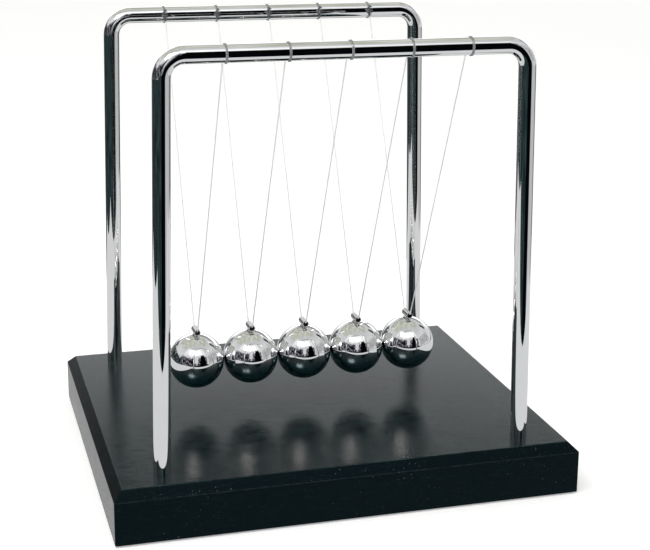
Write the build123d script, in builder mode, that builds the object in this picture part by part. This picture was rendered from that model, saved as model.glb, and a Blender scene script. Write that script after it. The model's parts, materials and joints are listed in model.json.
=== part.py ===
from build123d import *

import os
from math import atan2, cos, degrees, pi, radians, sin, tan

# Newton's cradle: five steel balls on V-shaped nylon lines, between two bent chromed rods
# that stand in a lacquered base board. Millimetres. X runs along the row of balls, Y from
# front to back and Z up. The origin is under the middle of the base, on the table.

# Base board
base_length = 178.0
base_width = 152.0
base_height = 20.0
base_bevel = 3.5  # broad bevel round the top
edge_round = 0.4  # every edge is eased a little

# Felt pads under the base
pad_radius = 5.5
pad_thickness = 0.6
pad_inset = 8.0  # from the base's edge to a pad's centre

# Two inverted U rods, whose legs close in a little above the base
rod_radius = 3.2
rod_spread = 139.0  # between the two legs of a rod, in the base
rod_top_spread = 133.5  # between them where they meet the top bar
rod_depth = 124.0  # between the front rod and the rear rod
bar_height = 171.5  # middle of the top bar above the base's underside
bend_radius = 8.0  # at the middle of the rod
leg_bend_radius = 60.0  # of the faint bend just above the base
leg_bend_height = 3.0  # of that bend above the base's top
socket_depth = 13.0
socket_clearance = 0.05

# Screws and washers that hold the rods from below
counterbore_radius = 5.5
counterbore_depth = 4.0
screw_hole_radius = 1.9
tapped_radius = 1.55
tapped_depth = 10.0
screw_radius = 1.5
screw_length = 12.0
head_radius = 3.0
head_height = 2.0
head_round = 0.6
recess_length = 3.2
recess_width = 0.8
recess_depth = 1.2
washer_radius = 4.5
washer_hole_radius = 1.7
washer_thickness = 0.8

# Balls
ball_count = 5
ball_radius = 11.1
ball_gap = 0.15  # hanging room between two neighbours
ball_height = 39.5  # middle of a ball above the base's underside

# Eyelet on each ball: a short tube across the row, on a stem pressed into the ball
eyelet_radius = 1.3
eyelet_bore = 0.95
eyelet_length = 6.2
eyelet_gap = 0.1  # between the tube and the ball
stem_radius = 0.8
stem_depth = 3.0  # inside the ball
stem_clearance = 0.02

# Nylon lines, their loops round the rods and the knots beside them
line_radius = 0.25
line_bend = 0.75  # where a line turns out of its eyelet
line_clearance = 0.05
loop_radius = 0.35  # two turns of line, side by side
knot_radius = 1.1
knot_height = 4.0
knot_drop = 0.3  # knot's middle below the bar's middle
pivot_gap = 0.25  # from a knot's underside to the point where its line swings

# Places worked out from the sizes
base_bottom = pad_thickness
base_top = base_bottom + base_height
rod_end = base_top - socket_depth
bar_z = base_bottom + bar_height
ball_z = base_bottom + ball_height
eyelet_z = ball_z + ball_radius + eyelet_gap + eyelet_radius
ball_spacing = 2 * ball_radius + ball_gap
ball_places = [(i - (ball_count - 1) / 2) * ball_spacing for i in range(ball_count)]
rod_y = {"front": -rod_depth / 2, "rear": rod_depth / 2}
inward = {"front": 1, "rear": -1}
rod_feet = [(x, y) for y in rod_y.values() for x in (-rod_spread / 2, rod_spread / 2)]
washer_top = base_bottom + counterbore_depth
head_top = washer_top - washer_thickness
knot_out = rod_radius + line_clearance + knot_radius  # knot's middle from the rod's middle
knot_z = bar_z - knot_drop
pivot_y = rod_depth / 2 - knot_out
pivot_z = knot_z - knot_height / 2 - pivot_gap

underside = Plane(origin=(0, 0, base_bottom), x_dir=(1, 0, 0), z_dir=(0, 0, -1))
on_floor = (Align.CENTER, Align.CENTER, Align.MIN)
hanging = (Align.CENTER, Align.CENTER, Align.MAX)

os.makedirs("parts", exist_ok=True)


def save(piece, name):
    """Label a finished piece and write its file."""
    piece.part.label = name
    export_step(piece.part, f"parts/{name}.step")


# Base board with four stepped holes for the rods and their screws
with BuildPart() as base:
    with BuildSketch(Plane.XY.offset(base_bottom)):
        Rectangle(base_length, base_width)
    extrude(amount=base_height)
    chamfer(base.faces().sort_by(Axis.Z)[-1].edges(), length=base_bevel)
    fillet(base.edges(), radius=edge_round)
    with Locations(Plane.XY.offset(base_top)):
        with Locations(*rod_feet):
            Hole(radius=rod_radius + socket_clearance, depth=socket_depth)
    with Locations(underside):
        with Locations(*rod_feet):
            CounterBoreHole(
                radius=screw_hole_radius,
                counter_bore_radius=counterbore_radius,
                counter_bore_depth=counterbore_depth,
                depth=base_height - socket_depth,
            )
save(base, "base")

# Four felt pads
pad_x = base_length / 2 - pad_inset
pad_y = base_width / 2 - pad_inset
with BuildPart() as felt_pads:
    with BuildSketch():
        with GridLocations(2 * pad_x, 2 * pad_y, 2, 2):
            Circle(pad_radius)
    extrude(amount=pad_thickness)
save(felt_pads, "felt_pads")


# Rods
def make_rod(y):
    """One inverted U rod at that depth, tapped at both lower ends."""
    x = rod_spread / 2
    top_x = rod_top_spread / 2
    with BuildPart() as rod:
        with BuildLine(Plane.XZ.offset(-y)) as path:
            FilletPolyline(
                (-x, rod_end),
                (-x, base_top + leg_bend_height),
                (-top_x, bar_z),
                (top_x, bar_z),
                (x, base_top + leg_bend_height),
                (x, rod_end),
                radius=[leg_bend_radius, bend_radius, bend_radius, leg_bend_radius],
            )
        with BuildSketch(Plane(origin=path.line @ 0, z_dir=path.line % 0)):
            Circle(rod_radius)
        sweep()
        with Locations((-x, y, rod_end), (x, y, rod_end)):
            Cylinder(tapped_radius, tapped_depth, align=on_floor, mode=Mode.SUBTRACT)
    return rod


for side, y in rod_y.items():
    save(make_rod(y), f"{side}_rod")

# Pan-head screws with a cross recess, and their washers
with BuildPart() as rod_screws:
    with Locations(*[(x, y, head_top) for x, y in rod_feet]):
        Cylinder(head_radius, head_height, align=hanging)
    fillet(rod_screws.faces().sort_by(Axis.Z)[:4].edges(), radius=head_round)
    with Locations(*[(x, y, head_top) for x, y in rod_feet]):
        Cylinder(screw_radius, screw_length, align=on_floor)
    with Locations(*[(x, y, head_top - head_height) for x, y in rod_feet]):
        Box(recess_length, recess_width, recess_depth, align=on_floor, mode=Mode.SUBTRACT)
        Box(recess_width, recess_length, recess_depth, align=on_floor, mode=Mode.SUBTRACT)
save(rod_screws, "rod_screws")

with BuildPart() as rod_washers:
    with BuildSketch(Plane.XY.offset(head_top)):
        with Locations(*rod_feet):
            Circle(washer_radius)
            Circle(washer_hole_radius, mode=Mode.SUBTRACT)
    extrude(amount=washer_thickness)
save(rod_washers, "rod_washers")


# Balls and eyelets
def make_ball(x):
    """A ball with the blind hole that its eyelet's stem is pressed into."""
    with BuildPart() as ball:
        with Locations((x, 0, ball_z)):
            Sphere(ball_radius)
        with Locations((x, 0, ball_z + ball_radius)):
            Hole(radius=stem_radius + stem_clearance, depth=stem_depth + stem_clearance)
    return ball


def make_eyelet(x):
    """A short tube across the row, with its stem below."""
    with BuildPart() as eyelet:
        with BuildSketch(Plane.XZ.offset(-eyelet_length / 2)):
            with Locations((x, eyelet_z)):
                Circle(eyelet_radius)
        extrude(amount=eyelet_length)
        with Locations((x, 0, eyelet_z)):
            Cylinder(stem_radius, eyelet_z - ball_z - ball_radius + stem_depth, align=hanging)
        with BuildSketch(Plane.XZ.offset(-eyelet_length / 2)):
            with Locations((x, eyelet_z)):
                Circle(eyelet_bore)
        extrude(amount=eyelet_length, mode=Mode.SUBTRACT)
    return eyelet


for number, x in enumerate(ball_places, start=1):
    save(make_ball(x), f"ball_{number}")
    save(make_eyelet(x), f"eyelet_{number}")


# Lines: down from the front knot, through the eyelet's bore and up to the rear knot
line_z = eyelet_z + eyelet_bore - line_radius - line_clearance


def line_corner():
    """Distance of a line's corner from the ball's middle, and the turn there in degrees."""
    corner = eyelet_length / 2
    for _ in range(8):
        turn = atan2(pivot_z - line_z, pivot_y - corner)
        corner = eyelet_length / 2 + line_clearance + line_bend * tan(turn / 2)
    return corner, degrees(turn)


def make_line(x):
    """One line of a ball, from pivot to pivot."""
    corner, _ = line_corner()
    with BuildPart() as line:
        with BuildLine(Plane.YZ.offset(x)) as path:
            FilletPolyline(
                (-pivot_y, pivot_z),
                (-corner, line_z),
                (corner, line_z),
                (pivot_y, pivot_z),
                radius=line_bend,
            )
        with BuildSketch(Plane(origin=path.line @ 0, z_dir=path.line % 0)):
            Circle(line_radius)
        sweep()
    return line, sum(edge.length for edge in path.line.edges())


for number, x in enumerate(ball_places, start=1):
    line, length = make_line(x)
    save(line, f"line_{number}")

section = pi * line_radius**2
print(f"line length {length:.2f} mm, volume {line.part.volume:.3f}, section x length {section * length:.3f}")
print(f"line bend radius {line_bend} mm, turn {line_corner()[1]:.1f} degrees")


# Loops of line round the rods, each with its knot on the inner side
def make_loop(x, side):
    """A loop round one rod and the knot that its line hangs from."""
    y = rod_y[side]
    with BuildPart() as loop:
        with Locations(Location((x, y, bar_z), (0, 90, 0))):
            Torus(rod_radius + line_clearance + loop_radius, loop_radius)
        half = knot_height / 2 - knot_radius
        knot_y = y + inward[side] * knot_out
        with Locations((x, knot_y, knot_z)):
            Cylinder(knot_radius, 2 * half)
        with Locations((x, knot_y, knot_z - half), (x, knot_y, knot_z + half)):
            Sphere(knot_radius)
    return loop


for number, x in enumerate(ball_places, start=1):
    for side in rod_y:
        save(make_loop(x, side), f"{side}_loop_{number}")

# The swing: how far a free ball may move before it meets its neighbour, and a lifted ball's reach
swing_arm = pivot_z - ball_z
free_play = degrees(ball_gap / 2 / swing_arm)
lift = radians(60)
print(f"pivot y {pivot_y:.3f} z {pivot_z:.3f}, ball z {ball_z:.3f}, swing arm {swing_arm:.3f}")
print(f"ball spacing {ball_spacing:.3f}, half gap is {free_play:.4f} degrees of swing")
print(f"lifted ball moves {swing_arm * sin(lift):.1f} out and {swing_arm * (1 - cos(lift)):.1f} up")
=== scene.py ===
import bpy
import json
import math
from mathutils import Matrix, Vector


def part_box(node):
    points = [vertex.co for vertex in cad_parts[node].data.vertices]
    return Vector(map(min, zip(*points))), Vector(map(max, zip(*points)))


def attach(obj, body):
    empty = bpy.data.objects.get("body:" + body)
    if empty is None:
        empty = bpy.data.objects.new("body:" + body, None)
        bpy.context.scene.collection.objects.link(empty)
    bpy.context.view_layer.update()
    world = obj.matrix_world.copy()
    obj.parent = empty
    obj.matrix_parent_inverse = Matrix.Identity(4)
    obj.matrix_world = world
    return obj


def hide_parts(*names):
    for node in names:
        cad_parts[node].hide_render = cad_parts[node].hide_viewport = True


# The looks of a newton's cradle: chromed rods, mirror-polished balls on nylon lines and a
# black lacquered base. Metres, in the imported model's frame: X along the row of balls, Y from
# front to back, Z up.

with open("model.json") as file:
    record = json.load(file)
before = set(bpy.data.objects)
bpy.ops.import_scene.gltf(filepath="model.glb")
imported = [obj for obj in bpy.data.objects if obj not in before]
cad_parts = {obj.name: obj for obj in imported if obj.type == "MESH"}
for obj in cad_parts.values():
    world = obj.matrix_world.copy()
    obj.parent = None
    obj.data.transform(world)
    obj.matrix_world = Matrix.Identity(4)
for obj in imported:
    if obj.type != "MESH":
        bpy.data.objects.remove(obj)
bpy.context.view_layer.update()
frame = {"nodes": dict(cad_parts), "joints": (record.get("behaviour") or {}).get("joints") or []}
NODES = frame["nodes"]
MM = 0.001

# ---------------------------------------------------------------- places, from the frame
SIDES = ("front", "rear")
NUMBERS = range(1, 1 + sum(name.startswith("ball_") for name in NODES))


def middle(node, axis):
    """The middle of a node's box along one axis: 0 is X and 1 is Y."""
    low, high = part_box(node)
    return (low[axis] + high[axis]) / 2


def ball_x(number):
    return middle(f"ball_{number}", 0)


BASE_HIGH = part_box("base")[1]
BEVEL = 3.5 * MM  # round the top of the base
ROD_LOW, ROD_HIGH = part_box("front_rod")
ROD_RADIUS = (ROD_HIGH.y - ROD_LOW.y) / 2
ROD_Y = {side: middle(f"{side}_rod", 1) for side in SIDES}
BAR_Z = ROD_HIGH.z - ROD_RADIUS  # middle of both top bars
INWARD = {"front": 1, "rear": -1}  # the way along Y from a rod to the balls
PIVOT_Z = frame["joints"][0]["pos_m"][2]
EYELET_RADIUS = 1.3 * MM
EYELET_BORE = 0.95 * MM  # its radius
EYELET_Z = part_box("eyelet_1")[1].z - EYELET_RADIUS

# ---------------------------------------------------------------- camera
CAMERA_PLACE = Vector((-0.1470, -0.5464, 0.2393))
CAMERA_YAW = 0.2777  # from +Y towards +X
CAMERA_PITCH = -0.2521  # below the horizon
CAMERA_ROLL = 0.0076
CAMERA_LENS = 80.5
CAMERA_SHIFT = -0.077  # a little, so that the legs of the rods stay nearly parallel


def make_camera():
    data = bpy.data.cameras.new("camera")
    data.lens = CAMERA_LENS
    data.shift_y = CAMERA_SHIFT
    data.clip_start = 0.01
    camera = bpy.data.objects.new("camera", data)
    bpy.context.scene.collection.objects.link(camera)
    turn = Matrix.Rotation(-CAMERA_YAW, 4, "Z")
    tilt = Matrix.Rotation(math.pi / 2 + CAMERA_PITCH, 4, "X")
    roll = Matrix.Rotation(CAMERA_ROLL, 4, "Z")
    camera.matrix_world = Matrix.Translation(CAMERA_PLACE) @ turn @ tilt @ roll
    bpy.context.scene.camera = camera


make_camera()


# ---------------------------------------------------------------- shader nodes, in short
class Shader:
    """Adds nodes to one node tree and links them."""

    def __init__(self, tree):
        self.tree = tree
        tree.nodes.clear()

    def add(self, kind, values=None, **settings):
        node = self.tree.nodes.new("ShaderNode" + kind)
        for key, value in settings.items():
            setattr(node, key, value)
        for key, value in (values or {}).items():
            self.put(node.inputs[key], value)
        return node

    def put(self, socket, value):
        if isinstance(value, bpy.types.NodeSocket):
            self.tree.links.new(value, socket)
        else:
            socket.default_value = value

    def math(self, operation, *values):
        node = self.add("Math", operation=operation)
        for socket, value in zip(node.inputs, values):
            self.put(socket, value)
        return node.outputs[0]

    def step(self, value, low, high):
        """0 below low and 1 above high, smooth between them; falls if low is above high."""
        up = low < high
        ends = (low, high, 0.0, 1.0) if up else (high, low, 1.0, 0.0)
        names = ("From Min", "From Max", "To Min", "To Max")
        node = self.add("MapRange", dict(zip(names, ends)), interpolation_type="SMOOTHSTEP")
        self.put(node.inputs["Value"], value)
        return node.outputs[0]

    def window(self, value, low, high, soft):
        """1 between low and high, 0 outside them."""
        return self.math(
            "MULTIPLY",
            self.step(value, low - soft, low + soft),
            self.step(value, high + soft, high - soft),
        )

    def both(self, *values):
        """The product of the values: 1 where all of them are 1."""
        total = values[0]
        for value in values[1:]:
            total = self.math("MULTIPLY", total, value)
        return total

    def mix(self, factor, below, above):
        """The colour below with the colour above laid over it by factor."""
        node = self.add("Mix", data_type="RGBA")
        self.put(node.inputs[0], factor)
        for socket, colour in ((node.inputs[6], below), (node.inputs[7], above)):
            self.put(socket, grey(colour))
        return node.outputs[2]

    def place(self, scale=(1, 1, 1)):
        """A point of the object in its own space, in metres; a scale under 1 draws a pattern out."""
        return self.stretch(self.add("TexCoord").outputs["Object"], scale)

    def stretch(self, vector, scale):
        return self.add("Mapping", {"Vector": vector, "Scale": scale}).outputs[0]

    def split(self, vector):
        """The three parts of a vector."""
        return self.add("SeparateXYZ", {0: vector}).outputs

    def noise(self, vector, scale, detail=2.0, rough=0.5):
        values = {"Vector": vector, "Scale": scale, "Detail": detail, "Roughness": rough}
        return self.add("TexNoise", values).outputs["Fac"]

    def bump(self, height, strength, distance, normal=None):
        values = {"Height": height, "Strength": strength, "Distance": distance}
        if normal is not None:
            values["Normal"] = normal
        return self.add("Bump", values).outputs[0]


def grey(colour):
    """A shader colour from one number, three numbers or a socket."""
    if isinstance(colour, (int, float)):
        return (colour, colour, colour, 1.0)
    if isinstance(colour, tuple) and len(colour) == 3:
        return (*colour, 1.0)
    return colour


def new_material(name):
    material = bpy.data.materials.new(name)
    material.use_nodes = True
    shader = Shader(material.node_tree)
    surface = shader.add("BsdfPrincipled")
    output = shader.add("OutputMaterial")
    shader.put(output.inputs["Surface"], surface.outputs[0])
    return material, shader, surface


# ---------------------------------------------------------------- studio
FLOOR_REACH = 8.0
FLOOR_GLOW = 0.34  # the floor is just past white, so that thin lines in front of it keep their soft edges
TABLE_GLOW = 0.62
TABLE_LEFT, TABLE_RIGHT = -0.40, 0.36
TABLE_FRONT, TABLE_BACK = -0.231, 0.26
LIGHT_AIM = Vector((0, 0, 0.04))
KEY_PLACE, KEY_POWER = (-0.55, -0.35, 1.1), 6.0
LAMP_PLACE, LAMP_POWER = (-0.40, -0.54, 0.78), 13.0


def make_plane(name, low, high, material):
    """A flat rectangle at height 0 that belongs to the studio, not to the object."""
    mesh = bpy.data.meshes.new(name)
    corners = [(low[0], low[1], 0), (high[0], low[1], 0), (high[0], high[1], 0), (low[0], high[1], 0)]
    mesh.from_pydata(corners, [], [(0, 1, 2, 3)])
    mesh.materials.append(material)
    plane = bpy.data.objects.new(name, mesh)
    bpy.context.scene.collection.objects.link(plane)
    return plane


def board_material(name, glow, colour):
    """Matt board that glows a little, so that shadows on it stay pale."""
    material, shader, surface = new_material(name)
    tint = shader.noise(shader.place(), 3.0)
    shader.put(surface.inputs["Base Color"], shader.mix(tint, 0.95 * colour, colour))
    surface.inputs["Roughness"].default_value = 0.8
    surface.inputs["Specular IOR Level"].default_value = 0.1
    surface.inputs["Emission Color"].default_value = grey(1.0)
    surface.inputs["Emission Strength"].default_value = glow
    return material


def make_floor():
    """A wide floor for the eye, and the table top that the polished metal mirrors."""
    low, high = (-FLOOR_REACH, -FLOOR_REACH), (FLOOR_REACH, FLOOR_REACH)
    floor = make_plane("floor", low, high, board_material("white_floor", FLOOR_GLOW, 0.9))
    floor.visible_glossy = False
    low, high = (TABLE_LEFT, TABLE_FRONT), (TABLE_RIGHT, TABLE_BACK)
    table = make_plane("table", low, high, board_material("table_top", TABLE_GLOW, 0.25))
    table.visible_camera = False
    table.visible_diffuse = False
    table.visible_shadow = False


def make_world():
    """The room all round: pale walls, an olive ceiling panel and the dark things in front.

    Directions are azimuth, from the front (-Y) towards +X, and height, both in degrees.
    """
    world = bpy.data.worlds.new("studio")
    bpy.context.scene.world = world
    world.use_nodes = True
    shader = Shader(world.node_tree)
    direction = shader.add("TexCoord").outputs["Generated"]
    x, y, z = shader.split(direction)
    degrees = 180 / math.pi
    front = shader.math("MULTIPLY", y, -1.0)
    azimuth = shader.math("MULTIPLY", shader.math("ARCTAN2", x, front), degrees)
    height = shader.math("MULTIPLY", shader.math("ARCSINE", z), degrees)
    up = shader.math("MAXIMUM", z, 0.05)
    along = shader.math("DIVIDE", x, up)  # where a ray meets a ceiling 1 m up
    across = shader.math("DIVIDE", y, up)
    rough = shader.noise(direction, 9.0, 6.0, 0.6)
    fine = shader.noise(direction, 38.0, 5.0, 0.65)
    pieces = shader.noise(shader.stretch(direction, (1.0, 1.0, 0.5)), 15.0, 4.0, 0.6)
    wobble = shader.math("MULTIPLY", shader.math("SUBTRACT", rough, 0.5), 46.0)
    ragged = shader.math("ADD", height, wobble)
    shift = shader.math("MULTIPLY", shader.math("SUBTRACT", fine, 0.5), 0.5)

    def patch(sky, colour, az, el, soft=2.0, edge=height):
        """Lay a patch between two azimuths and two heights over the sky."""
        shape = shader.both(shader.window(azimuth, *az, soft), shader.window(edge, *el, soft))
        return shader.mix(shape, sky, colour)

    # walls: pale, brightest low behind, where the base's top mirrors them
    sky = shader.mix(shader.step(height, 26.0, 60.0), 0.80, 0.62)
    sky = shader.mix(shader.step(rough, 0.45, 0.7), sky, 0.66)
    sky = patch(sky, 0.35, (125, 180), (22, 36), 4.0)
    for ends in ((128, 186), (-186, -168)):
        sky = patch(sky, 2.9, ends, (9, 18), 6.0)
    # the ceiling panel, olive, with ragged ends and pale streaks
    left = shader.math("ADD", along, shift)
    near = shader.math("ADD", across, shift)
    panel = shader.both(shader.window(left, -0.95, 0.66, 0.03), shader.window(near, -0.12, 1.12, 0.04))
    streaks = shader.noise(shader.stretch(direction, (26, 5, 5)), 1.0, 4.0)
    olive = shader.mix(shader.step(streaks, 0.40, 0.62), (0.47, 0.48, 0.38), (0.74, 0.75, 0.69))
    rim = shader.both(shader.window(left, -1.15, 0.95, 0.03), shader.window(near, 1.13, 1.26, 0.03))
    sky = shader.mix(rim, sky, 0.16)
    sky = shader.mix(panel, sky, olive)
    # the white wall in front, above the dark things
    sky = patch(sky, 1.0, (-74, 36), (34, 61), 3.0, ragged)
    sky = patch(sky, 1.5, (-52, 18), (37, 55), 5.0, ragged)
    # dark shelves behind on the left, and a dark post high on the right
    sky = patch(sky, 0.12, (-162, -136), (-40, 19), 3.0, ragged)
    sky = patch(sky, 0.01, (103, 114), (24, 43), 1.0)
    # half-dark things low on the right
    things = shader.mix(shader.step(fine, 0.42, 0.60), 0.22, 0.78)
    sky = patch(sky, things, (42, 96), (-2, 26), 3.0, ragged)
    # the dark studio in front: grey clutter, a black flag and a pale figure of light
    clutter = shader.mix(shader.step(pieces, 0.50, 0.62), (0.008, 0.009, 0.012), (0.46, 0.43, 0.50))
    sky = patch(sky, clutter, (-82, 36), (-8, 26), 2.0, ragged)
    shelves = shader.mix(shader.step(pieces, 0.52, 0.66), (0.008, 0.018, 0.020), (0.22, 0.24, 0.24))
    sky = patch(sky, shelves, (-139, -80), (-8, 19), 3.0, ragged)
    narrow = shader.math("MULTIPLY", shader.math("SUBTRACT", height, 10.0), 0.18)
    aside = shader.math("ABSOLUTE", shader.math("SUBTRACT", azimuth, 18.5))
    flag = shader.step(shader.math("ADD", aside, narrow), 14.5, 10.5)
    sky = shader.mix(shader.both(flag, shader.window(height, -10.0, 35.0, 2.0)), sky, 0.002)
    sky = patch(sky, 0.75, (-17, -3), (3, 31), 2.0, ragged)
    # the room's floor past the table: dark in front and behind, pale on the right
    level = shader.stretch(direction, (6.0, 6.0, 50.0))
    grain = shader.step(shader.noise(level, 1.0, 5.0, 0.75), 0.38, 0.62)
    carpet = shader.mix(grain, (0.002, 0.008, 0.009), (0.040, 0.064, 0.066))
    ground = shader.mix(shader.window(azimuth, 40.0, 106.0, 4.0), 0.10, 0.56)
    ground = shader.mix(shader.window(azimuth, -139.0, -10.0, 3.0), ground, carpet)
    ground = shader.mix(shader.window(azimuth, -10.0, 40.0, 3.0), ground, (0.001, 0.002, 0.003))
    sky = shader.mix(shader.step(height, -3.0, -5.0), sky, ground)

    seen = shader.add("LightPath").outputs["Is Camera Ray"]
    colour = shader.mix(seen, sky, 0.97)
    glow = shader.add("Background", {"Color": colour, "Strength": 1.0})
    shader.put(shader.add("OutputWorld").inputs["Surface"], glow.outputs[0])


def make_light(name, place, size, energy, colour):
    """A rectangular soft light, aimed at the balls, that the camera doesn't see."""
    data = bpy.data.lights.new(name, "AREA")
    data.shape = "RECTANGLE"
    data.size, data.size_y = size
    data.energy = energy
    data.color = colour
    light = bpy.data.objects.new(name, data)
    light.location = place
    light.rotation_euler = (LIGHT_AIM - light.location).to_track_quat("-Z", "Y").to_euler()
    light.visible_camera = False
    bpy.context.scene.collection.objects.link(light)
    return light


def make_lights():
    """A broad key above the front left, and the bright lamp that the balls and the lacquer mirror."""
    key = make_light("key", KEY_PLACE, (0.9, 0.6), KEY_POWER, (1.0, 1.0, 1.0))
    key.visible_glossy = False
    lamp = make_light("lamp", LAMP_PLACE, (0.36, 0.24), LAMP_POWER, (1.0, 0.86, 0.80))
    lamp.visible_diffuse = False


make_floor()
make_world()
make_lights()
bpy.context.scene.view_settings.view_transform = "Standard"


# ---------------------------------------------------------------- materials
def chrome(name, colour, streak, waviness):
    """Bright plating with a faint haze, hairline wiping marks and slightly wavy metal below.

    Streak and waviness are the scales of the marks and of the waves along X, Y and Z.
    """
    material, shader, surface = new_material(name)
    spot = shader.place()
    haze = shader.noise(spot, 140.0, 4.0, 0.6)
    marks = shader.noise(shader.place(streak), 900.0, 3.0, 0.7)
    shader.put(surface.inputs["Base Color"], shader.mix(haze, tuple(0.93 * c for c in colour), colour))
    surface.inputs["Metallic"].default_value = 1.0
    worn = shader.math("MULTIPLY", shader.step(marks, 0.55, 0.8), 0.06)
    cloudy = shader.math("MULTIPLY", shader.step(haze, 0.45, 0.8), 0.07)
    rough = shader.math("ADD", shader.math("ADD", worn, cloudy), 0.025)
    shader.put(surface.inputs["Roughness"], rough)
    wave = shader.noise(shader.place(waviness), 60.0, 2.0)
    low = shader.bump(wave, 0.12, 0.0004)
    shader.put(surface.inputs["Normal"], shader.bump(marks, 0.02, 0.00002, low))
    return material


def lacquer():
    """Satin black lacquer over open-grained board: pores and grain along X, painted light on the top
    as a lighter teal streaked along the grain, dust, and a painted highlight along the bevel's edges."""
    material, shader, surface = new_material("black_lacquer")
    spot = shader.place()
    cloud = shader.noise(spot, 40.0, 6.0, 0.7)
    body = shader.mix(cloud, (0.0001, 0.0012, 0.0020), (0.0005, 0.0030, 0.0042))
    grain = shader.step(shader.noise(shader.place((0.3, 1.0, 1.0)), 520.0, 6.0, 0.85), 0.40, 0.62)
    height = shader.split(spot)[2]
    top = shader.step(height, BASE_HIGH.z - 0.4 * MM, BASE_HIGH.z - 0.1 * MM)
    # painted light: the top is coloured a lighter teal than the sides, in streaks along the grain
    painted_top_light = shader.mix(cloud, (0.0008, 0.0085, 0.0092), (0.0030, 0.0180, 0.0188))
    body = shader.mix(shader.both(top, grain), body, painted_top_light)
    pores = shader.noise(shader.place((0.22, 1.0, 1.0)), 1400.0, 4.0, 0.7)
    pale = shader.step(pores, 0.52, 0.80)
    body = shader.mix(shader.math("MULTIPLY", pale, 0.12), body, (0.03, 0.06, 0.065))
    specks = shader.noise(spot, 1500.0, 2.0, 0.5)
    dust = shader.both(shader.step(specks, 0.70, 0.74), shader.step(cloud, 0.42, 0.60))
    body = shader.mix(shader.math("MULTIPLY", dust, 0.5), body, 0.30)
    # painted highlight: a broken pale line along the two edges of the bevel
    highlight_breaks = shader.step(shader.noise(spot, 500.0, 5.0, 0.8), 0.30, 0.70)
    worn = shader.both(bevel_highlight_lines(shader), highlight_breaks)
    body = shader.mix(shader.math("MULTIPLY", worn, 0.4), body, (0.07, 0.09, 0.10))
    shader.put(surface.inputs["Base Color"], body)
    rough = shader.math("ADD", shader.math("MULTIPLY", cloud, 0.12), 0.08)
    rough = shader.math("ADD", rough, shader.math("MULTIPLY", grain, 0.05))
    rough = shader.math("ADD", rough, shader.math("MULTIPLY", shader.step(pores, 0.35, 0.7), 0.07))
    shader.put(surface.inputs["Roughness"], rough)
    surface.inputs["IOR"].default_value = 1.21
    surface.inputs["Specular Tint"].default_value = (0.50, 0.88, 1.0, 1.0)
    peel = shader.bump(grain, 0.1, 0.00006, shader.bump(pores, 0.6, 0.00003))
    shader.put(surface.inputs["Normal"], shader.bump(dust, 0.6, 0.00005, peel))
    return material


def bevel_highlight_lines(shader):
    """1 along the two long edges of the bevel, all round the board, where a pale line is painted as a
    highlight.
    """
    x, y, z = shader.split(shader.place())
    lower = BASE_HIGH.z - BEVEL
    line = shader.window(z, lower - 0.25 * MM, lower + 0.15 * MM, 0.1 * MM)
    out_x = shader.math("SUBTRACT", shader.math("ABSOLUTE", x), BASE_HIGH.x - BEVEL)
    out_y = shader.math("SUBTRACT", shader.math("ABSOLUTE", y), BASE_HIGH.y - BEVEL)
    out = shader.math("MAXIMUM", out_x, out_y)
    upper = shader.window(out, -0.15 * MM, 0.2 * MM, 0.1 * MM)
    upper = shader.both(upper, shader.step(z, lower, BASE_HIGH.z))
    return shader.math("MAXIMUM", shader.math("MULTIPLY", line, 0.6), shader.math("MULTIPLY", upper, 0.5))


def nylon(name, dark, pale, clear, rough):
    """Nylon monofilament, cloudy inside, between two tones."""
    material, shader, surface = new_material(name)
    cloud = shader.noise(shader.place(), 1200.0, 3.0)
    shader.put(surface.inputs["Base Color"], shader.mix(cloud, dark, pale))
    shader.put(surface.inputs["Roughness"], shader.math("ADD", shader.math("MULTIPLY", cloud, 0.15), rough))
    surface.inputs["IOR"].default_value = 1.53
    surface.inputs["Transmission Weight"].default_value = clear
    surface.inputs["Specular IOR Level"].default_value = 0.4
    shader.put(surface.inputs["Normal"], shader.bump(cloud, 0.1, 0.00001))
    return material, shader, surface


def tied_nylon():
    """Line drawn tight: pale round the rod, with painted shade on the knot's coil, where its turns crowd
    together.
    """
    material, shader, surface = nylon("tied_nylon", (0.24, 0.26, 0.27), (0.52, 0.54, 0.56), 0.45, 0.08)
    y = shader.split(shader.place())[1]
    # painted shade: the knot's coil, on the inner side of the rod, is coloured darker than the loop round
    # it
    knot_edge = ROD_Y["rear"] - ROD_RADIUS - 0.45 * MM
    knot_shade = shader.step(shader.math("ABSOLUTE", y), knot_edge, knot_edge - 0.5 * MM)
    single = surface.inputs["Base Color"].links[0].from_socket
    dark = shader.math("MULTIPLY", knot_shade, 0.85)
    shader.put(surface.inputs["Base Color"], shader.mix(dark, single, (0.07, 0.085, 0.09)))
    return material


def turned_steel(name, tone, edge):
    """Plain steel with fine turning marks, darker towards its outline by edge."""
    material, shader, surface = new_material(name)
    marks = shader.noise(shader.place((1, 20, 1)), 1500.0, 3.0, 0.6)
    shader.put(surface.inputs["Base Color"], shader.mix(marks, 0.8 * tone, tone))
    surface.inputs["Metallic"].default_value = 1.0
    surface.inputs["Specular Tint"].default_value = (edge, edge, edge, 1.0)
    shader.put(surface.inputs["Roughness"], shader.math("ADD", shader.math("MULTIPLY", marks, 0.15), 0.16))
    shader.put(surface.inputs["Normal"], shader.bump(marks, 0.15, 0.00002))
    return material, shader, surface


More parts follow.
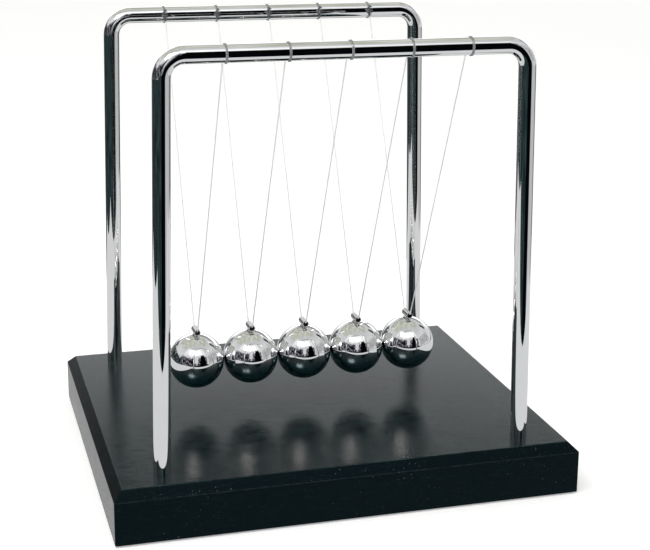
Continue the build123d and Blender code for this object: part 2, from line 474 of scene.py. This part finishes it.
def eyelet_steel(number):
    """Turned steel with painted shade in and round its bore."""
    material, shader, surface = turned_steel(f"eyelet_steel_{number}", 0.80, 0.45)
    x, _, z = shader.split(shader.place())
    aside = shader.math("SUBTRACT", x, ball_x(number))
    above = shader.math("SUBTRACT", z, EYELET_Z)
    squares = [shader.math("MULTIPLY", part, part) for part in (aside, above)]
    out = shader.math("SQRT", shader.math("ADD", *squares))
    steel = surface.inputs["Base Color"].links[0].from_socket
    # painted shade: the bore and a thin ring round each of its ends are coloured nearly black
    inside = shader.step(out, EYELET_BORE + 0.17 * MM, EYELET_BORE + 0.03 * MM)
    shader.put(surface.inputs["Base Color"], shader.mix(inside, steel, 0.03))
    return material


def felt():
    """Short black felt."""
    material, shader, surface = new_material("black_felt")
    fibres = shader.noise(shader.place((1, 1, 3)), 2600.0, 6.0, 0.75)
    shader.put(surface.inputs["Base Color"], shader.mix(fibres, 0.008, 0.05))
    surface.inputs["Roughness"].default_value = 0.95
    surface.inputs["Sheen Weight"].default_value = 0.4
    shader.put(surface.inputs["Normal"], shader.bump(fibres, 0.8, 0.0001))
    return material


def dress(node, material):
    """Give a CAD node its finished material."""
    materials = NODES[node].data.materials
    materials.clear()
    materials.append(material)


ROD_CHROME = chrome("rod_chrome", (0.86, 0.87, 0.88), (1, 1, 0.04), (1, 1, 0.25))
BALL_STEEL = chrome("ball_steel", (0.84, 0.85, 0.86), (1, 1, 1), (0.2, 0.2, 0.2))
ZINC = turned_steel("zinc_plate", 0.7, 1.0)[0]
LINE_NYLON = nylon("line_nylon", (0.85, 0.86, 0.88), (0.94, 0.95, 0.97), 0.25, 0.3)[0]
TIED_NYLON = tied_nylon()

dress("base", lacquer())
dress("felt_pads", felt())
for side in SIDES:
    dress(f"{side}_rod", ROD_CHROME)
for node in ("rod_screws", "rod_washers"):
    dress(node, ZINC)
for number in NUMBERS:
    dress(f"ball_{number}", BALL_STEEL)
    dress(f"eyelet_{number}", eyelet_steel(number))

# ---------------------------------------------------------------- nylon lines
LINE_DIAMETER = 0.5 * MM
# The route of one line in the plane of its ball, (y, z): from the front knot, through the
# eyelet and up to the rear knot.
LINE_ROUTE = (
    (-0.05765, 0.16955),
    (-0.00430, 0.05450),
    (-0.00362, 0.05325),
    (-0.00220, 0.05325),
    (0.00220, 0.05325),
    (0.00362, 0.05325),
    (0.00430, 0.05450),
    (0.05765, 0.16955),
)


def new_curve(name, radius, material):
    """An empty round curve; its splines are added afterwards."""
    data = bpy.data.curves.new(name, "CURVE")
    data.dimensions = "3D"
    data.bevel_depth = radius
    data.bevel_resolution = 3
    data.use_fill_caps = True
    data.resolution_u = 16
    data.materials.append(material)
    curve = bpy.data.objects.new(name, data)
    bpy.context.scene.collection.objects.link(curve)
    return curve


def add_spline(curve, points):
    """A smooth strand of the curve that starts and ends at the first and the last point."""
    spline = curve.data.splines.new("NURBS")
    spline.points.add(len(points) - 1)
    for point, place in zip(spline.points, points):
        point.co = (*place, 1.0)
    spline.order_u = 3
    spline.use_endpoint_u = True


def make_line(number):
    x = ball_x(number)
    line = new_curve(f"nylon_line_{number}", LINE_DIAMETER / 2, LINE_NYLON)
    add_spline(line, [(x, y, z) for y, z in LINE_ROUTE])
    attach(line, f"pendulum_{number}")
    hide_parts(f"line_{number}")


for number in NUMBERS:
    make_line(number)

# ---------------------------------------------------------------- loops and knots
STRAND = 0.2 * MM  # radius of the line where it is drawn tight round a rod
TURNS = 2
STEPS = 40  # points in one turn round the rod
KNOT_TURNS = 6
KNOT_STEPS = 14  # points in one turn of the knot
KNOT_RADIUS = 1.2 * MM
KNOT_OUT = ROD_RADIUS + 1.15 * MM  # middle of the knot from the middle of the rod
KNOT_TOP = BAR_Z + 2.6 * MM
KNOT_BOTTOM = PIVOT_Z + 0.42 * MM  # just above its line's end, clear of it all through the swing
KNOT_FLAT = 0.75  # the knot is thinner from front to rear, where it is pressed against the rod
KNOT_END = 0.12  # the knot's ends taper to this part of its radius
TAIL = 1.5 * MM  # the cut end that stands off the knot
TAIL_OUT = ROD_RADIUS + 1.2 * MM
TAIL_Z = BAR_Z + 0.3 * MM


def loop_points(x, side):
    """Two turns of line round the rod, side by side."""
    reach = ROD_RADIUS + STRAND + 0.01 * MM
    pitch = 2.1 * STRAND
    points = []
    for step in range(TURNS * STEPS + 1):
        angle = 2 * math.pi * step / STEPS
        shift = (step / STEPS - TURNS / 2) * pitch
        y = ROD_Y[side] + INWARD[side] * reach * math.cos(angle)
        points.append((x + shift, y, BAR_Z + reach * math.sin(angle)))
    return points


def knot_points(x, side):
    """A close coil of line down the inner side of the rod, from the loop to the line."""
    y = ROD_Y[side] + INWARD[side] * KNOT_OUT
    points = []
    total = KNOT_TURNS * KNOT_STEPS
    for step in range(total + 1):
        part = step / total
        angle = 2 * math.pi * step / KNOT_STEPS
        girth = KNOT_RADIUS * (KNOT_END + (1 - KNOT_END) * math.sin(math.pi * part))
        z = KNOT_TOP + (KNOT_BOTTOM - KNOT_TOP) * part
        points.append((x + girth * math.cos(angle), y + KNOT_FLAT * girth * math.sin(angle), z))
    return points


def tail_points(x, side, lean):
    """The cut end of the line, standing off the knot."""
    y = ROD_Y[side] + INWARD[side] * TAIL_OUT
    return [
        (x, y, TAIL_Z),
        (x + 0.5 * lean * TAIL, y + INWARD[side] * 0.15 * TAIL, TAIL_Z + 0.25 * TAIL),
        (x + 0.9 * lean * TAIL, y + INWARD[side] * 0.2 * TAIL, TAIL_Z + 0.75 * TAIL),
    ]


def make_loop(number, side):
    x = ball_x(number)
    lean = 1 if (number + SIDES.index(side)) % 2 else -1  # cut ends lean right and left by turns
    loop = new_curve(f"{side}_tied_loop_{number}", STRAND, TIED_NYLON)
    add_spline(loop, loop_points(x, side))
    add_spline(loop, knot_points(x, side))
    add_spline(loop, tail_points(x, side, lean))
    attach(loop, "stand")
    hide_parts(f"{side}_loop_{number}")


for number in NUMBERS:
    for side in SIDES:
        make_loop(number, side)
